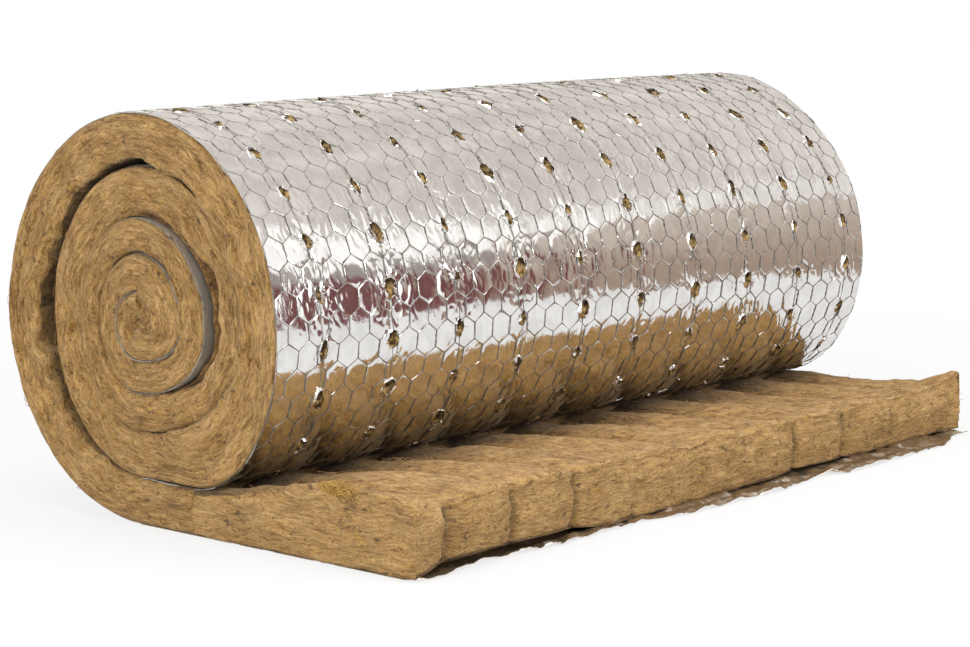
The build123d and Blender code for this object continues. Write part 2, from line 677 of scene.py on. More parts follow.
# Rolled wool: the mat as a flat block, wound up along its path
rolledWool = {
    "cuts": (860, 14, 30),      # along the mat, across it and through it
    "endSpread": 2.2,           # the cuts across lie closer towards the ends
    "outerDrop": 0.0030,        # how far the cut end falls away beside the foil
    "outerRound": 0.006,
    "innerDrop": 0.0065,        # and beside the turn inside it
    "innerRound": 0.011,
    "lumps": 0.0052,
    "layers": 0.0030,
    "fray": 0.0016,
    "fillFrom": 0.030,          # depth from which the sprung gaps close up
    "fillTo": 0.090,
    "press": 0.0030,            # how far a turn presses over the edge of the next
    # how far the sprung gaps are shut at the ends of the roll, by quarter turns
    "shutTurns": (0, 0.30, 0.82, 0.85, 1.16, 1.18, 1.6, 2.02, 2.14, 3.9, 4.0, 6.0, 6.3, 7.0, 7.6, 8),
    "shutShares": (0.5, 0.2, 0.1, -0.6, -0.6, 0.1, 0.2, 0.5, 1, 1, 0, 0.1, 0.5, 0.6, 0.5, 0.1),
    "torn": 0.0048,             # how ragged the wool is beside a gap
    "freeGap": 0.004,           # a gap this wide leaves the wool free
    "lipReach": 0.02,
    "steadyReach": 0.015,
    "gapShadeReach": 0.018,
    "edgeShade": 0.35,
    "edgeShadeReach": 0.004,
    "coreRun": 1.3,             # quarter turns over which the wool closes in on the eye of the roll
    "coreEye": 0.0015,
    "coreRise": 0.004,
}


def woolPoint(s, depth):        # depth runs from 0 on the foil to 1 on the turn's inner face
    turn = turnAt(s)
    outerX, outerZ = matPoint(s, 0.0)
    innerX, innerZ = spiralPoint(woolInside, np.minimum(turn, lastWool))
    innerX = np.where(s < floorS, outerX, innerX)
    toCore = easeIn((turn - lastWool) / rolledWool["coreRun"])
    angle = np.radians(270 - 90 * turn)
    coreX = rollX + rolledWool["coreEye"] * np.cos(angle)
    coreZ = rollZ + rolledWool["coreRise"] + rolledWool["coreEye"] * np.sin(angle)
    innerX = innerX + (coreX - innerX) * toCore
    innerZ = innerZ + (coreZ - innerZ) * toCore
    return outerX + (innerX - outerX) * depth, outerZ + (innerZ - outerZ) * depth


def endRelief(s, depth, thick, seed):       # how far a cut end stands out at a place on it
    flow = np.column_stack((s, depth * thick, np.zeros(len(s))))
    uneven = 1 + 0.6 * softNoise(flow * (1, 0, 0), (0.045, 1, 1), seed + 3)
    outer = 1 - np.clip(depth * thick / rolledWool["outerRound"], 0, 1)
    inner = 1 - np.clip((1 - depth) * thick / rolledWool["innerRound"], 0, 1)
    relief = np.interp(turnAt(s), stand["turns"], stand["heights"])
    relief -= rolledWool["outerDrop"] * outer ** 2 + uneven * rolledWool["innerDrop"] * inner ** 2
    fromFoil = np.clip(depth * thick / rolledWool["steadyReach"], 0, 1)
    steady = 0.15 + 0.85 * fromFoil         # the foil keeps the outer edge even
    rough = rolledWool["lumps"] * softNoise(flow, (0.045, 0.016, 1), seed)
    rough += rolledWool["layers"] * softNoise(flow, (0.020, 0.0045, 1), seed + 1)
    rough += rolledWool["fray"] * softNoise(flow, (0.0075, 0.0030, 1), seed + 2)
    return relief + steady * rough


def turnThickness(s):
    zero = np.zeros(len(s))
    outer = woolPoint(s, zero)
    inner = woolPoint(s, zero + 1)
    return np.hypot(outer[0] - inner[0], outer[1] - inner[1])


def makeRolledWool():
    piece = flatBlock("wool_roll", rolledWool["cuts"])
    unit = readPoints(piece) + 0.5
    s = nipS + unit[:, 0] * (coreS - nipS)
    across = unit[:, 1] * 2 - 1
    depth = unit[:, 2]
    y = np.sign(across) * side * (1 - (1 - np.abs(across)) ** rolledWool["endSpread"])
    thick = turnThickness(s)
    inwards = side - np.abs(y)
    onEnd = np.abs(across) > onFace
    turn = turnAt(s)

    # the sprung gaps close up inside the roll, and at its ends the turns press over each other elsewhere
    spare = np.interp(turn, np.arange(lastWool + 1), turnGaps) - mat["turnGap"]
    shut = np.interp(turn, rolledWool["shutTurns"], rolledWool["shutShares"])
    deep = easeIn((inwards - rolledWool["fillFrom"]) / (rolledWool["fillTo"] - rolledWool["fillFrom"]))
    fill = spare * np.where(shut < 0, deep + (1 - deep) * shut, np.maximum(deep, shut))
    free = np.clip((spare - fill) / rolledWool["freeGap"], 0, 1)
    place = np.column_stack((s, np.sign(y), 0 * s))
    lip = np.exp(-inwards / rolledWool["lipReach"])
    press = rolledWool["press"] * (0.7 + 0.6 * softNoise(place, (0.030, 1, 1), 5))
    torn = softNoise(place, (0.030, 1, 1), 6) + 0.7 * softNoise(place, (0.009, 1, 1), 7)
    torn *= np.where(turn < 4, 1, 0.4) * rolledWool["torn"]
    moved = fill + lip * (press * (1 - free) + torn * free)
    stretch = 1 + np.where(s > floorS, moved, 0) / np.maximum(thick, 0.005)
    x, z = woolPoint(s, depth * stretch)
    relief = np.where(y < 0, endRelief(s, depth, thick, 20), endRelief(s, depth, thick, 40))
    y = np.where(onEnd, np.sign(y) * (side + relief), y)
    writePoints(piece, settle(np.column_stack((x, y, z))))
    markFlow(piece, np.column_stack((s, y, depth * thick)))
    # painted shade: deep in the gaps between turns, along the edges of each turn on the cut ends, and half
    # shade elsewhere
    edge = np.minimum(depth, 1 - depth) * thick
    inGap = np.clip(inwards / rolledWool["gapShadeReach"], 0.35, 1) * np.where(turn < 4, 1, 0.6)
    edgeShade = rolledWool["edgeShade"] * (1 - np.clip(edge / rolledWool["edgeShadeReach"], 0, 1))
    markPaintedShade(piece, np.where(onEnd, edgeShade, np.where(depth > 0.99, inGap, 0.5)))
    faceOutwards(piece)
    smoothShade(piece, 80)
    finishPiece(piece, woolFinish, "wool_mat")


# Unrolled wool: the quilted end of the mat that lies on the floor
unrolledWool = {
    "cuts": (100, 300, 24),
    "length": 0.287,
    "skew": 0.039,              # how much shorter the far side is
    "quilt": 0.007,
    "endNotch": 0.006,
    "overrun": 0.020,
    "stationShares": (0.0, 0.24, 0.62, 1.0),
    "nearShares": (0.63, 0.81, 1.05, 0.90),
    "farShares": (0.63, 0.66, 0.72, 0.99),
    "quiltShares": (2.6, 3.1, 1.4, 0.30),
    "creases": (1.0, 1.0, 1.0, 0.30, 0.12, 0.10, 0.9, 0.7, 0.15, 0.10),     # in the cut end, one for each row
    "creaseWidths": (0.0040, 0.018),
    "edgeRound": 0.007,
    "liftPlaces": (-0.50, -0.45, -0.26, -0.20, 0.10, 0.16, 0.30, 0.50),     # across the mat
    "lifts": (0.001, 0.012, 0.009, 0.002, 0.003, 0.006, 0.003, 0.003),      # of the cut end off the foil
    "liftReach": 0.030,
    "nipShadowReach": (0.205, 0.115),         # how far the painted shadow of the roll reaches over the wool in front of it, near and far side
    "nipShade": 0.72,           # how dark that painted shadow is, and the painted shade along the seams and in the cut end's creases and underside
    "seamShade": 0.42,
    "seamWidth": 0.010,
    "endShade": 0.6,
    "cornerRise": 0.013,        # of the far corner
    "cornerReach": (0.080, 0.100),
    "feltReach": (0.03, 0.02),          # from the cut end and the sides to the mat's smooth face
    "endSwell": 0.004,
    "endInset": 0.003,
    "sideSwell": 0.003,
    "sideInset": 0.002,
    "lumps": 0.0026,
    "layers": 0.0018,
    "fray": 0.0011,
}
nearCurve = np.polyfit(unrolledWool["stationShares"], unrolledWool["nearShares"], 3)
farCurve = np.polyfit(unrolledWool["stationShares"], unrolledWool["farShares"], 3)


def quiltAt(y):             # 1 between the rows of stitches, 0 on a row
    share = np.abs(rowOffset(y)) / mat["rowPitch"] * 2
    return 1 - (1 - share) ** 2


def creaseAt(y, width):     # the crease that a row of stitches pulls in the cut end
    row = np.clip(((y + side) / mat["rowPitch"]).astype(int), 0, len(unrolledWool["creases"]) - 1)
    return np.array(unrolledWool["creases"])[row] * np.exp(-(rowOffset(y) / width) ** 2)


def tailEnd(y):
    farShare = (y + side) / (2 * side)
    narrow, broad = unrolledWool["creaseWidths"]
    creases = 0.65 * creaseAt(y, narrow) + 0.35 * creaseAt(y, broad)
    pulled = unrolledWool["endNotch"] * (0.25 * (1 - quiltAt(y)) + creases)
    corner = 0.005 * easeIn((y - side) / 0.06 + 1)
    return tailX + unrolledWool["length"] - unrolledWool["skew"] * farShare - pulled + corner


def tailTop(x, y):
    share = (x - tailX) / (unrolledWool["length"] + unrolledWool["overrun"])
    farShare = (y + side) / (2 * side)
    crest = np.polyval(nearCurve, share) * (1 - farShare) + np.polyval(farCurve, share) * farShare
    dip = np.interp(share, unrolledWool["stationShares"], unrolledWool["quiltShares"]) * unrolledWool["quilt"]
    uneven = 1 + 0.35 * softNoise(np.column_stack((y, 0 * y, 0 * y)), (0.1, 1, 1), 60)
    reachX, reachY = unrolledWool["cornerReach"]
    corner = easeIn(1 - (tailEnd(y) - x) / reachX) * easeIn(1 - (side - y) / reachY)
    top = mat["facing"] + crest * mat["thickness"] - dip * uneven * (1 - quiltAt(y))
    return top + unrolledWool["cornerRise"] * corner


def roundEdge(distance):    # how far a rounded edge falls away at a distance from it
    radius = unrolledWool["edgeRound"]
    inset = np.clip(radius - distance, 0, radius)
    return radius - np.sqrt(radius ** 2 - inset ** 2)


def makeUnrolledWool():
    piece = flatBlock("wool_unrolled", unrolledWool["cuts"])
    unit = readPoints(piece) + 0.5
    y = (unit[:, 1] * 2 - 1) * side
    height = unit[:, 2]
    end = tailEnd(y)
    x = tailX + (1 - (1 - unit[:, 0]) ** 1.25) * (end - tailX)
    fromEnd = end - x
    fromSide = side - np.abs(y)
    top = tailTop(x, y) - 0.8 * roundEdge(fromEnd) - 0.7 * roundEdge(fromSide)
    lift = np.interp(y, unrolledWool["liftPlaces"], unrolledWool["lifts"])
    bottom = mat["facing"] + lift * easeIn(1 - fromEnd / unrolledWool["liftReach"])
    z = bottom + (top - bottom) * height
    swell = 1 - (2 * height - 1) ** 2

    flow = np.column_stack((flapX - x, y, z))
    lumps = unrolledWool["lumps"] * softNoise(flow, (0.040, 0.040, 0.018), 62)
    fine = unrolledWool["layers"] * softNoise(flow, (0.018, 0.014, 0.0050), 63)
    fine += unrolledWool["fray"] * softNoise(flow, (0.0075, 0.006, 0.0035), 64)
    endReach, sideReach = unrolledWool["feltReach"]
    felt = np.where(height > onFace, easeIn(fromEnd / endReach) * easeIn(fromSide / sideReach), 0)
    relief = lumps + fine * (1 - 0.5 * felt)
    onTop = height > onFace
    onEnd = unit[:, 0] > onFace
    onSide = np.abs(unit[:, 1] - 0.5) > onFace / 2
    z = z + np.where(onTop, relief * easeIn(unit[:, 0] * 8), 0)
    endRise = relief + unrolledWool["endSwell"] * swell - unrolledWool["endInset"]
    sideRise = relief + unrolledWool["sideSwell"] * swell - unrolledWool["sideInset"]
    x = x + np.where(onEnd, endRise, 0)
    y = y + np.where(onSide, np.sign(y) * sideRise, 0)
    writePoints(piece, np.column_stack((x, y, z)))
    flow[:, 2] += (mat["thickness"] - flow[:, 2]) * felt        # one layer all over the mat's face
    markFlow(piece, flow)
    # painted shade along the seams of the top, in the creases of the cut end and on the underside, and as the
    # roll's shadow in front of it
    seam = np.exp(-(rowOffset(y) / unrolledWool["seamWidth"]) ** 2) * easeIn(1.1 - 1.2 * unit[:, 0])
    crease = creaseAt(y, unrolledWool["creaseWidths"][0])
    shade = np.where(onEnd, unrolledWool["endShade"] * crease, 0)
    shade += np.where(onTop, unrolledWool["seamShade"] * seam, 0)
    reach = np.interp(y, (-side, side), unrolledWool["nipShadowReach"])
    shade += np.where(onTop, unrolledWool["nipShade"] * easeIn(1 - (x - tailX) / reach), 0)
    markPaintedShade(piece, np.clip(shade + np.where(height < 0.001, unrolledWool["endShade"], 0), 0, 1))
    markPoints(piece, "woolFelt", felt)         # the mat's own face is smoother than its cut ends
    smoothShade(piece, 80)
    finishPiece(piece, woolFinish, "wool_mat")


makeRolledWool()
makeUnrolledWool()
print("wool made")


# Foil: one cell of the netting pressed into it, repeated over the mat and rolled up
netCell = {
    "columns": 35,
    "width": 2 * side / 35,
    "twist": 0.0170,            # length of a twisted side
    "slope": 0.0082,            # length along the mat of a sloping side
    "firstRow": 0.0095,         # past the roll's right side
    "wire": 0.00034,
    "twistReach": 0.00044,
    "lift": 0.0016,
    "stitchDip": 0.0005,
    "stitchReach": 0.012,
    "rowDipShare": 0.5,
    "flapStart": 0.045,
    "floorHighest": 0.0013,
    "wobbles": ((0.0018, 0.070), (0.0012, 0.021)),      # how far the wires stray, and over what length
}
cellRow = netCell["twist"] + netCell["slope"]
netStart = (rightS + netCell["firstRow"]) % (2 * cellRow)

rolledFoil = {
    "thickness": 0.0004,
    "insets": ((0.0006, 0.00022), (0.0008, 0.00003), (0.0050, 0.00003)),    # width and rise from the wire in
    "pokeRise": 0.00003,
    "tilt": 0.00028,
    "tiltSize": 0.019,
    "wrinkle": 0.00005,
    "slide": 0.0004,
    "stitchDip": 0.0014,
    "stitchReach": 0.009,
    "rowDip": 0.0007,           # how far the stitches pull the foil in all along a row
    "rowReach": 0.008,
    "lift": 0.0012,             # over the solid's foil
    "lowest": 0.0004,
    "sideMargin": 0.002,
}


def wobble(flat):           # the netting isn't even, and the foil under it follows
    place = flat * (1, 1, 0)
    moved = flat.copy()
    for seed, (reach, size) in zip((71, 77), netCell["wobbles"]):
        moved[:, 0] += reach * softNoise(place, (size, size, 1), seed)
        moved[:, 1] += reach * softNoise(place, (size, size, 1), seed + 1)
    moved[:, 1] = np.clip(moved[:, 1], -side, side)
    return moved


def rowDip(flat):
    row = np.exp(-(rowOffset(flat[:, 1] - rowDrift(flat[:, 0])) / rolledFoil["rowReach"]) ** 2)
    uneven = 0.65 + 0.5 * softNoise(flat * (1, 1, 0), (0.022, 0.1, 1), 76)
    return rolledFoil["rowDip"] * row * uneven


def foilCell(name):
    apex = netCell["twist"] / 2 + netCell["slope"]
    piece = addPiece(name, bpy.ops.mesh.primitive_circle_add, vertices=6, radius=1, fill_type='NGON',
                     rotation=(0, 0, math.pi / 2))
    editAll(piece)
    halfWidth = netCell["width"] / 2 / math.cos(math.radians(30))
    bpy.ops.transform.resize(value=(apex, halfWidth, 1), center_override=(0, 0, 0))
    bpy.ops.mesh.select_all(action='DESELECT')
    bpy.ops.object.mode_set(mode='OBJECT')
    for corner in piece.data.vertices:
        corner.select = abs(corner.co.y) > netCell["width"] / 4
    bpy.ops.object.mode_set(mode='EDIT')
    bpy.ops.transform.resize(value=(netCell["twist"] / apex, 1, 1), center_override=(0, 0, 0))
    bpy.ops.mesh.select_mode(type='FACE')
    bpy.ops.mesh.select_all(action='SELECT')
    for inset, rise in rolledFoil["insets"]:
        bpy.ops.mesh.inset(thickness=inset, depth=rise)
    bpy.ops.mesh.poke(offset=rolledFoil["pokeRise"])
    bpy.ops.mesh.select_mode(type='VERT')
    bpy.ops.object.mode_set(mode='OBJECT')
    return piece


def rollSheet(piece, flat, thickness, offset):      # thickens a flat sheet and rolls it up
    writePoints(piece, flat)
    thickenSheet(piece, thickness, offset)
    flat = readPoints(piece)
    writePoints(piece, rollUp(flat))
    markFlow(piece, flat)


def makeRolledFoil():
    piece = foilCell("foil_roll")
    repeatPiece(piece, 2, (cellRow, netCell["width"] / 2, 0))
    rows = math.ceil((hiddenS - floorS) / (2 * cellRow)) + 2
    repeatPiece(piece, netCell["columns"] + 2, (0, netCell["width"], 0))
    repeatPiece(piece, rows, (2 * cellRow, 0, 0))
    firstRow = netStart + math.floor((floorS - netStart) / (2 * cellRow)) * 2 * cellRow
    movePiece(piece, (firstRow - cellRow + netCell["twist"] / 2, -side, 0))
    mergeDoubles(piece, 2e-4)
    trimSheet(piece, (floorS, 0, 0), (-1, 0, 0))
    trimSheet(piece, (hiddenS, 0, 0), (1, 0, 0))
    trimSheet(piece, (0, side, 0), (0, 1, 0))
    trimSheet(piece, (0, -side, 0), (0, -1, 0))

    flat = readPoints(piece)
    chance = np.random.default_rng(23)
    raised = flat[:, 2] > rolledFoil["insets"][0][1] / 2
    flat[:, 2] *= 1 + 0.35 * softNoise(flat * (1, 1, 0), (0.030, 0.030, 1), 75)
    tiltSize = (rolledFoil["tiltSize"], rolledFoil["tiltSize"], 1)
    flat[:, 2] += rolledFoil["tilt"] * softNoise(flat * (1, 1, 0), tiltSize, 74)
    jolts = chance.normal(0, 1, flat.shape)
    flat[:, 2] += np.where(raised, rolledFoil["wrinkle"] * jolts[:, 2], 0)
    flat[:, 0] += np.where(raised, rolledFoil["slide"] * jolts[:, 0], 0)
    inner = np.abs(flat[:, 1]) < side - rolledFoil["sideMargin"]
    flat[:, 1] += np.where(raised & inner, rolledFoil["slide"] * jolts[:, 1], 0)
    apart = stitchDistance(flat)
    pulled = np.exp(-(apart / rolledFoil["stitchReach"]) ** 2)
    flat[:, 2] += rolledFoil["lift"] - rolledFoil["stitchDip"] * pulled
    flat[:, 2] -= rowDip(flat)
    flat[:, 2] = np.maximum(flat[:, 2], rolledFoil["lowest"])
    rollSheet(piece, wobble(flat), rolledFoil["thickness"], -1.0)
    smoothShade(piece, 25)
    finishPiece(piece, foilFinish, "foil_facing")


# Foil inside the roll, with its edges showing between the turns, and below the unrolled end
hiddenFoil = {
    "turnCuts": (420, 6),
    "tailCuts": (80, 220),
    "thickness": 0.0006,
    "flapPlaces": (-0.50, -0.46, -0.39, -0.29, -0.22, -0.15, -0.09, 0.0, 0.08,
                   0.165, 0.20, 0.28, 0.41, 0.47, 0.50),
    "flapEdges": (0.268, 0.277, 0.260, 0.274, 0.268, 0.265, 0.279, 0.281, 0.281, 0.268, 0.281, 0.277, 0.275,
                  0.250, 0.252),        # how far out the flap's torn edge lies at those places across the mat
    "flapCrumple": 0.0045,
    "sideTuck": 0.003,
    "lift": 0.0006,
    "turnRipple": 0.0004,
    "turnRagged": 0.0022,
    "flapRagged": 0.0012,
}


def flatSheet(name, cuts):      # 1 by 1, from 0 to 1 each way
    return addPiece(name, bpy.ops.mesh.primitive_grid_add, x_subdivisions=cuts[0], y_subdivisions=cuts[1],
                    size=1, location=(0.5, 0.5, 0))


def makeInnerFoil():
    piece = flatSheet("foil_turns", hiddenFoil["turnCuts"])
    unit = readPoints(piece)
    s = hiddenS + unit[:, 0] * (coreS - hiddenS)
    y = (unit[:, 1] * 2 - 1) * (side - 0.001)
    place = np.column_stack((s, y, 0 * s))
    ragged = hiddenFoil["turnRagged"] * softNoise(place, (0.018, 1, 1), 81)
    y = y + np.where(np.abs(unit[:, 1] - 0.5) > onFace / 2, ragged, 0)
    lift = hiddenFoil["lift"] + hiddenFoil["turnRipple"] * softNoise(place, (0.02, 0.3, 1), 82)
    rollSheet(piece, np.column_stack((s, y, lift)), hiddenFoil["thickness"], 0.0)
    smoothShade(piece, 40)
    finishPiece(piece, foilTurnsFinish, "foil_facing")


def flapLift(x, y):         # how far the loose flap stands off the floor, past the end of the wool
    loose = easeIn((x - tailEnd(y) + 0.018) / 0.02)
    place = np.column_stack((x, y, 0 * x))
    crumple = np.abs(softNoise(place, (0.016, 0.030, 1), 91))
    crumple += 0.5 * np.abs(softNoise(place, (0.007, 0.010, 1), 92))
    return loose * hiddenFoil["flapCrumple"] * crumple


def makeTailFoil():
    piece = flatSheet("foil_unrolled", hiddenFoil["tailCuts"])
    unit = readPoints(piece)
    y = (unit[:, 1] * 2 - 1) * (side - hiddenFoil["sideTuck"])
    edge = np.interp(y, hiddenFoil["flapPlaces"], hiddenFoil["flapEdges"])
    place = np.column_stack((y, 0 * y, 0 * y))
    edge = edge + hiddenFoil["flapRagged"] * softNoise(place, (0.020, 1, 1), 93)
    x = edge - unit[:, 0] ** 1.5 * (edge - rollX)
    z = hiddenFoil["lift"] + flapLift(x, y)
    writePoints(piece, np.column_stack((x, y, z)))
    thickenSheet(piece, hiddenFoil["thickness"], 0.0)
    faceOutwards(piece)
    markFlow(piece, readPoints(piece))
    smoothShade(piece, 40)
    finishPiece(piece, foilInnerFinish, "foil_facing")


makeRolledFoil()
makeInnerFoil()
makeTailFoil()
print("foil made")


# Wire netting: two bent wires twist together, part and twist with their neighbours
def sweepWire(name, stops, radius):
    piece = addPiece(name, bpy.ops.mesh.primitive_circle_add, vertices=4, radius=radius, location=stops[0],
                     rotation=(0, math.pi / 2, 0))
    editAll(piece)
    for stop, following in zip(stops, stops[1:]):
        step = tuple(b - a for a, b in zip(stop, following))
        bpy.ops.mesh.extrude_region_move(TRANSFORM_OT_translate={"value": step})
    bpy.ops.object.mode_set(mode='OBJECT')
    return piece


wireShade = {                    # painted shade on the wires, darkest in the nip under the roll, and browner there as a painted reflection of the wool
    "turns": (0, 2.35, 2.75, 3.1, 3.5, 4.2, 4.3),
    "shades": (0, 0, 0.4, 0.4, 1, 1, 0.4),
}


def finishWires(piece, flat):
    writePoints(piece, rollUp(flat))
    # painted shade by where the wire lies on the roll
    markPaintedShade(piece, np.interp(turnAt(flat[:, 0]), wireShade["turns"], wireShade["shades"]))
    smoothShade(piece, 60)
    finishPiece(piece, wireFinish, "foil_facing")


def bentWire(turnSide):     # one wire over one repeat of the netting; it twists at 0 and half a cell aside
    stops = []
    half = netCell["width"] / 2
    reach = netCell["twistReach"]
    for start, middle, startAngle in ((0.0, 0.0, 0.0), (cellRow, turnSide * half, math.pi)):
        for step in range(4):
            angle = startAngle + 2 * math.pi * step / 3
            y = middle + turnSide * reach * math.cos(angle)
            stops.append((start + netCell["twist"] * step / 3, y, turnSide * reach * math.sin(angle)))
    stops.append((2 * cellRow, turnSide * reach, 0.0))
    return stops


def makeNetting(name, startS, endS, highest):
    columns = netCell["columns"]
    rows = math.ceil((endS - startS) / (2 * cellRow))
    firstRow = netStart + math.ceil((startS - netStart) / (2 * cellRow)) * 2 * cellRow
    wires = []
    for turnSide, firstY in ((1, -side), (-1, -side + netCell["width"])):
        wire = sweepWire("wire", bentWire(turnSide), netCell["wire"])
        repeatPiece(wire, columns, (0, netCell["width"], 0))
        repeatPiece(wire, rows, (2 * cellRow, 0, 0))
        movePiece(wire, (firstRow, firstY, 0))
        wires.append(wire)
    piece = joinPieces(wires, name)
    closeTubes(piece)
    flat = wobble(readPoints(piece))
    dip = np.exp(-(stitchDistance(flat) / netCell["stitchReach"]) ** 2)
    lifted = flat[:, 2] + netCell["lift"] - netCell["stitchDip"] * dip - netCell["rowDipShare"] * rowDip(flat)
    flat[:, 2] = np.minimum(lifted, highest)
    finishWires(piece, flat)


edgeWire = {
    "radius": 0.0006,
    "step": 0.012,
    "start": 0.048,
    "lift": 0.0008,
    "strays": (0.0018, 0.0003),         # across the mat and out of it
    "floorHighest": 0.0014,
}


def makeEdgeWires():        # the thicker wire along each side of the netting
    sides = []
    for y in (-side, side):
        wire = sweepWire("wire", ((0, 0, 0), (edgeWire["step"], 0, 0)), edgeWire["radius"])
        repeatPiece(wire, int((coreS - edgeWire["start"]) / edgeWire["step"]), (edgeWire["step"], 0, 0))
        movePiece(wire, (edgeWire["start"], y, edgeWire["lift"]))
        sides.append(wire)
    piece = joinPieces(sides, "edge_wires")
    closeTubes(piece)
    flat = readPoints(piece)
    place = np.column_stack((flat[:, 0], np.sign(flat[:, 1]), 0 * flat[:, 0]))
    across, out = edgeWire["strays"]
    flat[:, 1] += across * softNoise(place, (0.030, 1, 1), 95)
    flat[:, 2] += out * softNoise(place, (0.040, 1, 1), 96)
    pressed = np.minimum(flat[:, 2], edgeWire["floorHighest"])
    flat[:, 2] = np.where(flat[:, 0] < floorS, pressed, flat[:, 2])
    finishWires(piece, flat)


makeNetting("netting_roll", floorS, hiddenS, math.inf)
makeNetting("netting_unrolled", netCell["flapStart"], floorS - 2 * cellRow, netCell["floorHighest"])
makeEdgeWires()
print("netting made")


# Stitches: a wire along each row, and wool showing in the slit at each stitch
stitch = {
    "wire": 0.00032,
    "lift": 0.0019,
    "slit": (0.0086, 0.0058, 0.0010),
    "lip": (0.0108, 0.0076),
    "lipRise": 0.0012,
    "jolt": 0.0011,
    "lipTaper": (0.80, 0.76, 1),
    "lipThickness": 0.0002,
    "lipLifts": (0.0008, 0.0002),       # of its torn edge and its foot
    "lipLowest": 0.0003,
    "woolStray": 0.0014,
    "woolLift": 0.0012,
    "wireStray": 0.0014,
    "vary": 0.4,                # in size, in turn and in place
    "turn": 0.25,
    "stray": 0.002,
}
rowCount = round(2 * side / mat["rowPitch"])
firstRow = -side + mat["rowPitch"] / 2
firstStitch = stitchStart + math.ceil((floorS - stitchStart) / mat["stitchPitch"]) * mat["stitchPitch"]
stitchCount = int((hiddenS - firstStitch) / mat["stitchPitch"]) + 1


def spreadStitches(piece, count):       # copies over the grid of stitches
    repeatPiece(piece, count, (mat["stitchPitch"], 0, 0))
    repeatPiece(piece, rowCount, (0, mat["rowPitch"], 0))
    movePiece(piece, (firstStitch, firstRow, 0))


def varyStitches(flat, seed):           # each stitch gets its own size and turn
    pitch = np.array((mat["stitchPitch"], mat["rowPitch"], 1))
    first = np.array((firstStitch, firstRow, 0))
    number = np.round((flat - first) / pitch) * (1, 1, 0)
    middle = number * pitch + first
    own = flat - middle
    grown = own * (1 + stitch["vary"] * softNoise(number, (0.37, 0.41, 1), seed))[:, None]
    grown[:, 1] *= 1 + stitch["vary"] * softNoise(number, (0.43, 0.31, 1), seed + 1)
    grown[:, 1] += stitch["turn"] * grown[:, 0] * softNoise(number, (0.29, 0.47, 1), seed + 2)
    place = middle + grown
    place[:, 0] += stitch["stray"] * softNoise(number, (0.51, 0.33, 1), 120)
    place[:, 1] += rowDrift(place[:, 0]) + stitch["stray"] * softNoise(number, (0.39, 0.57, 1), 121)
    return place


def makeStitchWire():
    pitch = mat["stitchPitch"]
    rise = stitch["lift"]
    stops = [(0, 0, -0.3 * rise), (0.10 * pitch, 0.0004, 0.7 * rise), (0.5 * pitch, -0.0003, rise),
             (0.90 * pitch, 0.0003, 0.7 * rise), (pitch, 0, -0.3 * rise)]
    piece = sweepWire("stitch_wire", stops, stitch["wire"])
    spreadStitches(piece, stitchCount - 1)
    closeTubes(piece)
    flat = readPoints(piece)
    flat[:, 1] += rowDrift(flat[:, 0]) + stitch["wireStray"] * softNoise(flat * (1, 1, 0), (0.05, 0.1, 1), 97)
    finishWires(piece, flat)


def makeSlitWool():
    piece = addPiece("slit_wool", bpy.ops.mesh.primitive_uv_sphere_add, segments=14, ring_count=6, radius=1)
    editMesh(piece, bpy.ops.transform.resize, value=stitch["slit"], center_override=(0, 0, 0))
    spreadStitches(piece, stitchCount)
    flat = readPoints(piece)
    own = (flat[:, 0] - firstStitch + mat["stitchPitch"] / 2) % mat["stitchPitch"] - mat["stitchPitch"] / 2
    markPaintedShade(piece, np.clip(0.5 - 0.75 * own / stitch["slit"][0], 0, 1))      # painted shade, darkest at the end where the wire goes in
    flat = varyStitches(flat, 101)
    strays = [softNoise(flat, (0.004, 0.004, 0.004), 105 + axis) for axis in range(3)]
    flat += stitch["woolStray"] * np.column_stack(strays)
    flat[:, 2] += stitch["woolLift"]
    writePoints(piece, rollUp(flat))
    smoothShade(piece, 80)
    finishPiece(piece, slitFinish, "wool_mat")


def makeSlitLips():         # the torn foil that stands up round each slit
    piece = addPiece("slit_lips", bpy.ops.mesh.primitive_circle_add, vertices=9, radius=1)
    editAll(piece)
    bpy.ops.transform.resize(value=(*stitch["lip"], 1), center_override=(0, 0, 0))
    bpy.ops.mesh.extrude_region_move(TRANSFORM_OT_translate={"value": (0, 0, stitch["lipRise"])})
    bpy.ops.transform.resize(value=stitch["lipTaper"], center_override=(0, 0, stitch["lipRise"]))
    bpy.ops.object.mode_set(mode='OBJECT')
    spreadStitches(piece, stitchCount)
    flat = varyStitches(readPoints(piece), 101)
    raised = flat[:, 2] > stitch["lipRise"] / 2
    jolts = np.random.default_rng(29).normal(0, stitch["jolt"], flat.shape)
    flat += jolts * np.where(raised, 1.0, 0.5)[:, None]
    flat[:, 2] = np.maximum(flat[:, 2] + np.where(raised, *stitch["lipLifts"]), stitch["lipLowest"])
    rollSheet(piece, flat, stitch["lipThickness"], 0.0)
    faceOutwards(piece)
    finishPiece(piece, foilFinish, "foil_facing")


makeStitchWire()
makeSlitWool()
makeSlitLips()
print("stitches made")


# Loose fibres on the cut ends, the quilted top and the end of the mat
fibres = {
    "ends": 1500,               # on each cut end
    "top": 700,
    "front": 500,
    "length": (0.010, 0.030),
    "radius": (0.00016, 0.00036),
    "stand": 0.0034,
    "depths": (0.06, 0.94),     # through the mat, on its cut ends
    "drift": 0.05,
    "shares": (0.05, 0.97),     # along the unrolled end
    "stops": 5,
}

tuft = {                        # a loose tuft on the near edge of the top
    "place": (0.175, -0.496, 0.0722),
    "spread": (0.0085, 0.0030, 0.0024),
    "count": 520,
    "length": 0.0072,
    "curl": 0.0018,
    "radius": (0.00022, 0.00048),
    "colour": (0.53, 0.335, 0.10),
}


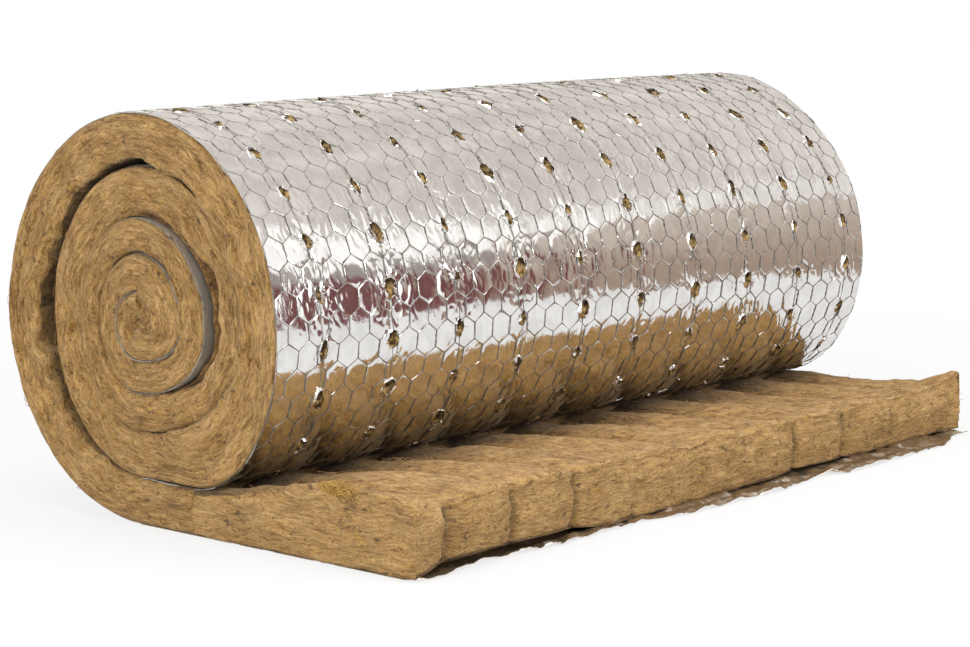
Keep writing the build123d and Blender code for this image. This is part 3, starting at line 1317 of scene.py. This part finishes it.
def makeStrands(name, paths, radius):       # thin closed tubes along many paths at once
    stopCount = paths.shape[1]
    radius = radius[:, None, None]
    along = np.gradient(paths, axis=1)
    along /= np.linalg.norm(along, axis=2, keepdims=True) + 1e-9
    aside = np.cross(along, np.broadcast_to((0.3, 0.5, 0.81), along.shape))
    aside /= np.linalg.norm(aside, axis=2, keepdims=True) + 1e-9
    upright = np.cross(along, aside)
    rings = [paths + radius * (math.cos(turn) * aside + math.sin(turn) * upright)
             for turn in (0, 2 * math.pi / 3, 4 * math.pi / 3)]
    points = np.stack(rings, axis=2)
    ringSize = 3
    strandSize = stopCount * ringSize
    first = np.arange(len(paths))[:, None] * strandSize
    quads = []
    for step in range(stopCount - 1):
        for corner in range(ringSize):
            following = (corner + 1) % ringSize
            quads.append([step * ringSize + corner, step * ringSize + following,
                          (step + 1) * ringSize + following, (step + 1) * ringSize + corner])
    faces = (first[:, None, :] + np.array(quads)[None]).reshape(-1, 4).tolist()
    lastRing = strandSize - ringSize
    caps = np.array([[2, 1, 0], [lastRing, lastRing + 1, lastRing + 2]])
    faces += (first[:, None, :] + caps[None]).reshape(-1, 3).tolist()
    mesh = bpy.data.meshes.new(name)
    mesh.from_pydata(points.reshape(-1, 3).tolist(), [], faces)
    piece = bpy.data.objects.new(name, mesh)
    bpy.context.scene.collection.objects.link(piece)
    faceOutwards(piece)
    markFlow(piece, readPoints(piece))
    smoothShade(piece, 80)
    return piece


def makeTuft():
    chance = np.random.default_rng(43)
    stops = np.linspace(-0.5, 0.5, 5)
    count = tuft["count"]
    middle = np.array(tuft["place"]) + chance.normal(0, 1, (count, 3)) * tuft["spread"]
    heading = chance.normal(0, 1, (count, 3)) * (1, 0.6, 0.5)
    curl = chance.normal(0, tuft["curl"], (count, len(stops), 3))
    paths = middle[:, None] + heading[:, None] * stops[None, :, None] * tuft["length"] + curl
    piece = makeStrands("loose_tuft", paths, chance.uniform(*tuft["radius"], count))
    finish, shader = newFinish("tuftWool")
    shader.inputs["Base Color"].default_value = (*tuft["colour"], 1)
    setInputs(shader, {"Roughness": 0.9, "Specular IOR Level": 0.15})
    finishPiece(piece, finish, "wool_mat")


def makeFibres():
    chance = np.random.default_rng(41)
    paths = []
    stops = np.linspace(-0.5, 0.5, fibres["stops"])
    for endSide, seed in ((-1, 20), (1, 40)):
        count = fibres["ends"]
        s = chance.uniform(nipS, coreS, count)
        depth = chance.uniform(*fibres["depths"], count)
        length = chance.uniform(*fibres["length"], count)
        rise = chance.uniform(-0.4, 1, (count, fibres["stops"])) * fibres["stand"]
        drift = chance.normal(0, fibres["drift"], count)
        places = []
        for step, stop in enumerate(stops):
            sHere = np.clip(s + stop * length, nipS, coreS)
            depthHere = np.clip(depth + drift * stop, 0.03, 0.97)
            x, z = woolPoint(sHere, depthHere)
            relief = endRelief(sHere, depthHere, turnThickness(sHere), seed)
            y = endSide * (side + relief + rise[:, step])
            places.append(settle(np.column_stack((x, y, z))))
        paths.append(np.stack(places, axis=1))
    for count, onFront in ((fibres["top"], False), (fibres["front"], True)):
        y = chance.uniform(-side + 0.01, side - 0.01, count)
        share = chance.uniform(*fibres["shares"], count)
        length = chance.uniform(*fibres["length"], count)
        heading = chance.uniform(0, 2 * math.pi, count)
        rise = chance.uniform(-0.3, 1, (count, fibres["stops"])) * fibres["stand"]
        places = []
        for step, stop in enumerate(stops):
            yHere = np.clip(y + stop * length * np.sin(heading), -side, side)
            if onFront:
                height = np.clip(0.2 + 0.7 * share + stop * length * np.cos(heading) / 0.2, 0.1, 0.95)
                x = tailEnd(yHere) + 0.002 + rise[:, step]
                z = mat["facing"] + height * (tailTop(x, yHere) - 0.012)
            else:
                end = tailEnd(yHere)
                x = np.clip(tailX + share * (end - tailX) + stop * length * np.cos(heading), tailX, end)
                z = tailTop(x, yHere) - roundEdge(end - x) + rise[:, step]
            places.append(np.column_stack((x, yHere, z)))
        paths.append(np.stack(places, axis=1))
    paths = np.concatenate(paths)
    piece = makeStrands("loose_fibres", paths, chance.uniform(*fibres["radius"], len(paths)))
    finishPiece(piece, woolFinish, "wool_mat")


makeFibres()
makeTuft()
print("fibres made")


# Studio: a pale floor, soft lamps, and cards that only the foil shows
studio = {
    "floorSize": 14.0,
    "floorLevel": -0.0004,
    "floorColour": (0.86, 0.86, 0.86),
    "floorGlow": 0.72,
    "floorFade": (0.4, 1.6),    # how far out the floor runs into the white background
    "worldLight": 0.62,
    "cameraPlace": (2.0102, -2.4781, 0.6339),
    "cameraTurn": 39.968,
    "cameraDown": 8.527,
    "cameraRoll": 0.661,
    "cameraLens": 110.4,
}
lamps = (                       # name, place, target, size and power
    ("top_lamp", (0.6, -0.6, 3.0), (0, 0, 0.1), (2.6, 2.6), 39),
    ("front_lamp", (0.5, -3.4, 1.1), (0, 0, 0.2), (2.0, 1.4), 47),
    ("side_lamp", (3.3, 1.1, 1.1), (0.25, 0.1, 0.05), (1.6, 1.2), 52),
)


def seenDirectly():     # 1 for what the camera, gloss and glass see
    path = addNode("LightPath")
    seen = addMath('MAXIMUM', path.outputs["Is Camera Ray"], path.outputs["Is Glossy Ray"])
    return addMath('MAXIMUM', seen, path.outputs["Is Transmission Ray"])


def makeFloor():
    floor = addPiece("studio_floor", bpy.ops.mesh.primitive_plane_add, size=studio["floorSize"],
                     location=(0, 0, studio["floorLevel"]))
    finish, shader = newFinish("paleFloor")
    shader.inputs["Base Color"].default_value = (*studio["floorColour"], 1)
    shader.inputs["Roughness"].default_value = 0.9
    glow = addNode("Emission")
    glow.inputs["Color"].default_value = (1, 1, 1, 1)
    glow.inputs["Strength"].default_value = 1.0
    reach = addVector('LENGTH', addNode("TexCoord").outputs["Object"], output="Value")
    far = addRange(reach, *studio["floorFade"], studio["floorGlow"], 1.0)
    share = times(seenDirectly(), far)
    mix = addNode("MixShader")
    link(share, mix.inputs["Fac"])
    link(shader.outputs["BSDF"], mix.inputs[1])
    link(glow.outputs["Emission"], mix.inputs[2])
    link(mix.outputs["Shader"], tree["nodes"]["Material Output"].inputs["Surface"])
    floor.data.materials.append(finish)


def makeWorld():
    world = bpy.data.worlds.new("studioWorld")
    bpy.context.scene.world = world
    openTree(world)
    background = tree["nodes"]["Background"]
    background.inputs["Color"].default_value = (1, 1, 1, 1)
    seen = seenDirectly()
    strength = times(seen, 1 - studio["worldLight"])
    strength = plus(strength, studio["worldLight"])
    link(strength, background.inputs["Strength"])


def makeLamp(name, place, target, size, power):
    clearSelection()
    bpy.ops.object.light_add(type='AREA', location=place)
    lamp = bpy.context.active_object
    lamp.name = name
    lamp.data.shape = 'RECTANGLE'
    lamp.data.size, lamp.data.size_y = size
    lamp.data.energy = power
    towards = np.array(target) - np.array(place)
    lamp.rotation_euler = (math.acos(-towards[2] / np.linalg.norm(towards)), 0,
                           math.atan2(towards[0], -towards[1]) + math.pi)


reflections = {
    "wallFoot": ((0.25, 1.005), (2.30, 1.652)),         # from the wall's far end to its near one
    "wallPlaces": (0.0, 0.20, 0.61, 1.0),               # along it
    "wallHeights": (0.36, 0.60, 0.76, 1.45),
    "wallDark": (0.215, 0.080, 0.082),
    "wallPale": (0.46, 0.35, 0.28),
    "wallTopDark": (0.40, 0.355, 0.33),
    "wallTopPale": (0.70, 0.61, 0.54),
    "domeRadius": 6.0,
    "domeGreys": ((0.76, 0.71, 0.672), (0.93, 0.88, 0.832)),
    "domeWhite": (1.35, 1.34, 1.32),
    "domeFaint": (0.99, 0.96, 0.92),                    # the white opening towards its far end
    "domeHeading": 52,
    "domeLow": 0.12,            # where the grey begins, as a share of its height, away from that heading
    "domeHigh": 0.41,           # towards it
    "domeNear": 0.60,           # and towards its near end
}


def showInGlossOnly(card):
    card.visible_camera = False
    card.visible_diffuse = False
    card.visible_shadow = False
    card.visible_transmission = False


def headingShare(degrees):        # 1 towards the heading, seen from the middle of the floor
    place = addNode("TexCoord").outputs["Object"]
    unit = addVector('NORMALIZE', addVector('MULTIPLY', place, (1, 1, 0)))
    heading = (math.cos(math.radians(degrees)), math.sin(math.radians(degrees)), 0)
    share = addVector('DOT_PRODUCT', unit, heading, output="Value")
    parts = addNode("SeparateXYZ")
    link(place, parts.inputs[0])
    return share, parts.outputs["Y"], parts.outputs["Z"]


def glowWith(colour):
    glow = addNode("Emission")
    glow.inputs["Strength"].default_value = 1.0
    link(colour, glow.inputs["Color"])
    link(glow.outputs["Emission"], tree["nodes"]["Material Output"].inputs["Surface"])


def makeWall():             # a glowing card, seen only in the foil's reflections: a dark wall behind the lamp, with a paler strip along its top
    wall = flatSheet("studio_wall", (40, 1))
    unit = readPoints(wall)
    far, near = (np.array(place) for place in reflections["wallFoot"])
    foot = far + unit[:, :1] * (near - far)
    height = np.interp(unit[:, 0], reflections["wallPlaces"], reflections["wallHeights"])
    writePoints(wall, np.column_stack((foot, unit[:, 1] * height)))
    finish = newFinish("studioWall")[0]
    parts = addNode("SeparateXYZ")
    link(addNode("TexCoord").outputs["UV"], parts.inputs[0])
    along, rise = parts.outputs["X"], parts.outputs["Y"]
    lower = addRamp(along, ((0.45, reflections["wallPale"]), (0.62, reflections["wallDark"])))
    upper = addRamp(along, ((0.40, reflections["wallTopPale"]), (0.60, reflections["wallTopDark"])))
    nearShare = addRamp(along, ((0.45, (0, 0, 0)), (0.60, (1, 1, 1))))
    softEdge = addRamp(rise, ((0.22, (0, 0, 0)), (0.88, (1, 1, 1))))
    sharpEdge = addRamp(rise, ((0.66, (0, 0, 0)), (0.72, (1, 1, 1))))
    share = mixColours('MIX', nearShare, softEdge, sharpEdge)
    glowWith(mixColours('MIX', share, lower, upper))
    wall.data.materials.append(finish)
    showInGlossOnly(wall)


def makeDome():             # a glowing dome, seen only in the foil's reflections: pale grey above, with a white opening low down at the back
    radius = reflections["domeRadius"]
    dome = addPiece("studio_dome", bpy.ops.mesh.primitive_uv_sphere_add, segments=48, ring_count=24,
                    radius=radius)
    trimSheet(dome, (0, 0, -0.01), (0, 0, -1))
    finish = newFinish("studioDome")[0]
    towards, back, level = headingShare(reflections["domeHeading"])
    back = over(back, radius)
    high = addRange(back, 0.64, 0.70, reflections["domeNear"], reflections["domeHigh"], 'LINEAR')
    edge = addRange(towards, 0.72, 0.93, reflections["domeLow"], high)
    rise = over(level, radius)
    above = plus(minus(rise, edge), 0.5)
    share = addRamp(above, ((0.495, (0, 0, 0)), (0.52, (1, 1, 1))))
    white = addRamp(back, ((0.72, reflections["domeWhite"]), (0.79, reflections["domeFaint"])))
    place = addNode("TexCoord").outputs["Object"]
    clouds = addNoise(place, (1, 1, 1), 0.8, 2, 0.5)
    darker, paler = reflections["domeGreys"]
    grey = addRamp(clouds, ((0.40, darker), (0.60, paler)))
    glowWith(mixColours('MIX', share, white, grey))
    dome.data.materials.append(finish)
    showInGlossOnly(dome)


def makeCamera():
    bpy.ops.object.camera_add(location=studio["cameraPlace"])
    camera = bpy.context.active_object
    camera.rotation_euler = (math.radians(90 - studio["cameraDown"]), 0, math.radians(studio["cameraTurn"]))
    camera.rotation_euler.rotate_axis('Z', math.radians(studio["cameraRoll"]))
    camera.data.lens = studio["cameraLens"]
    bpy.context.scene.camera = camera


bpy.context.scene.view_settings.view_transform = 'Standard'
makeFloor()
makeWorld()
for lamp in lamps:
    makeLamp(*lamp)
makeWall()
makeDome()
makeCamera()
print("studio set")
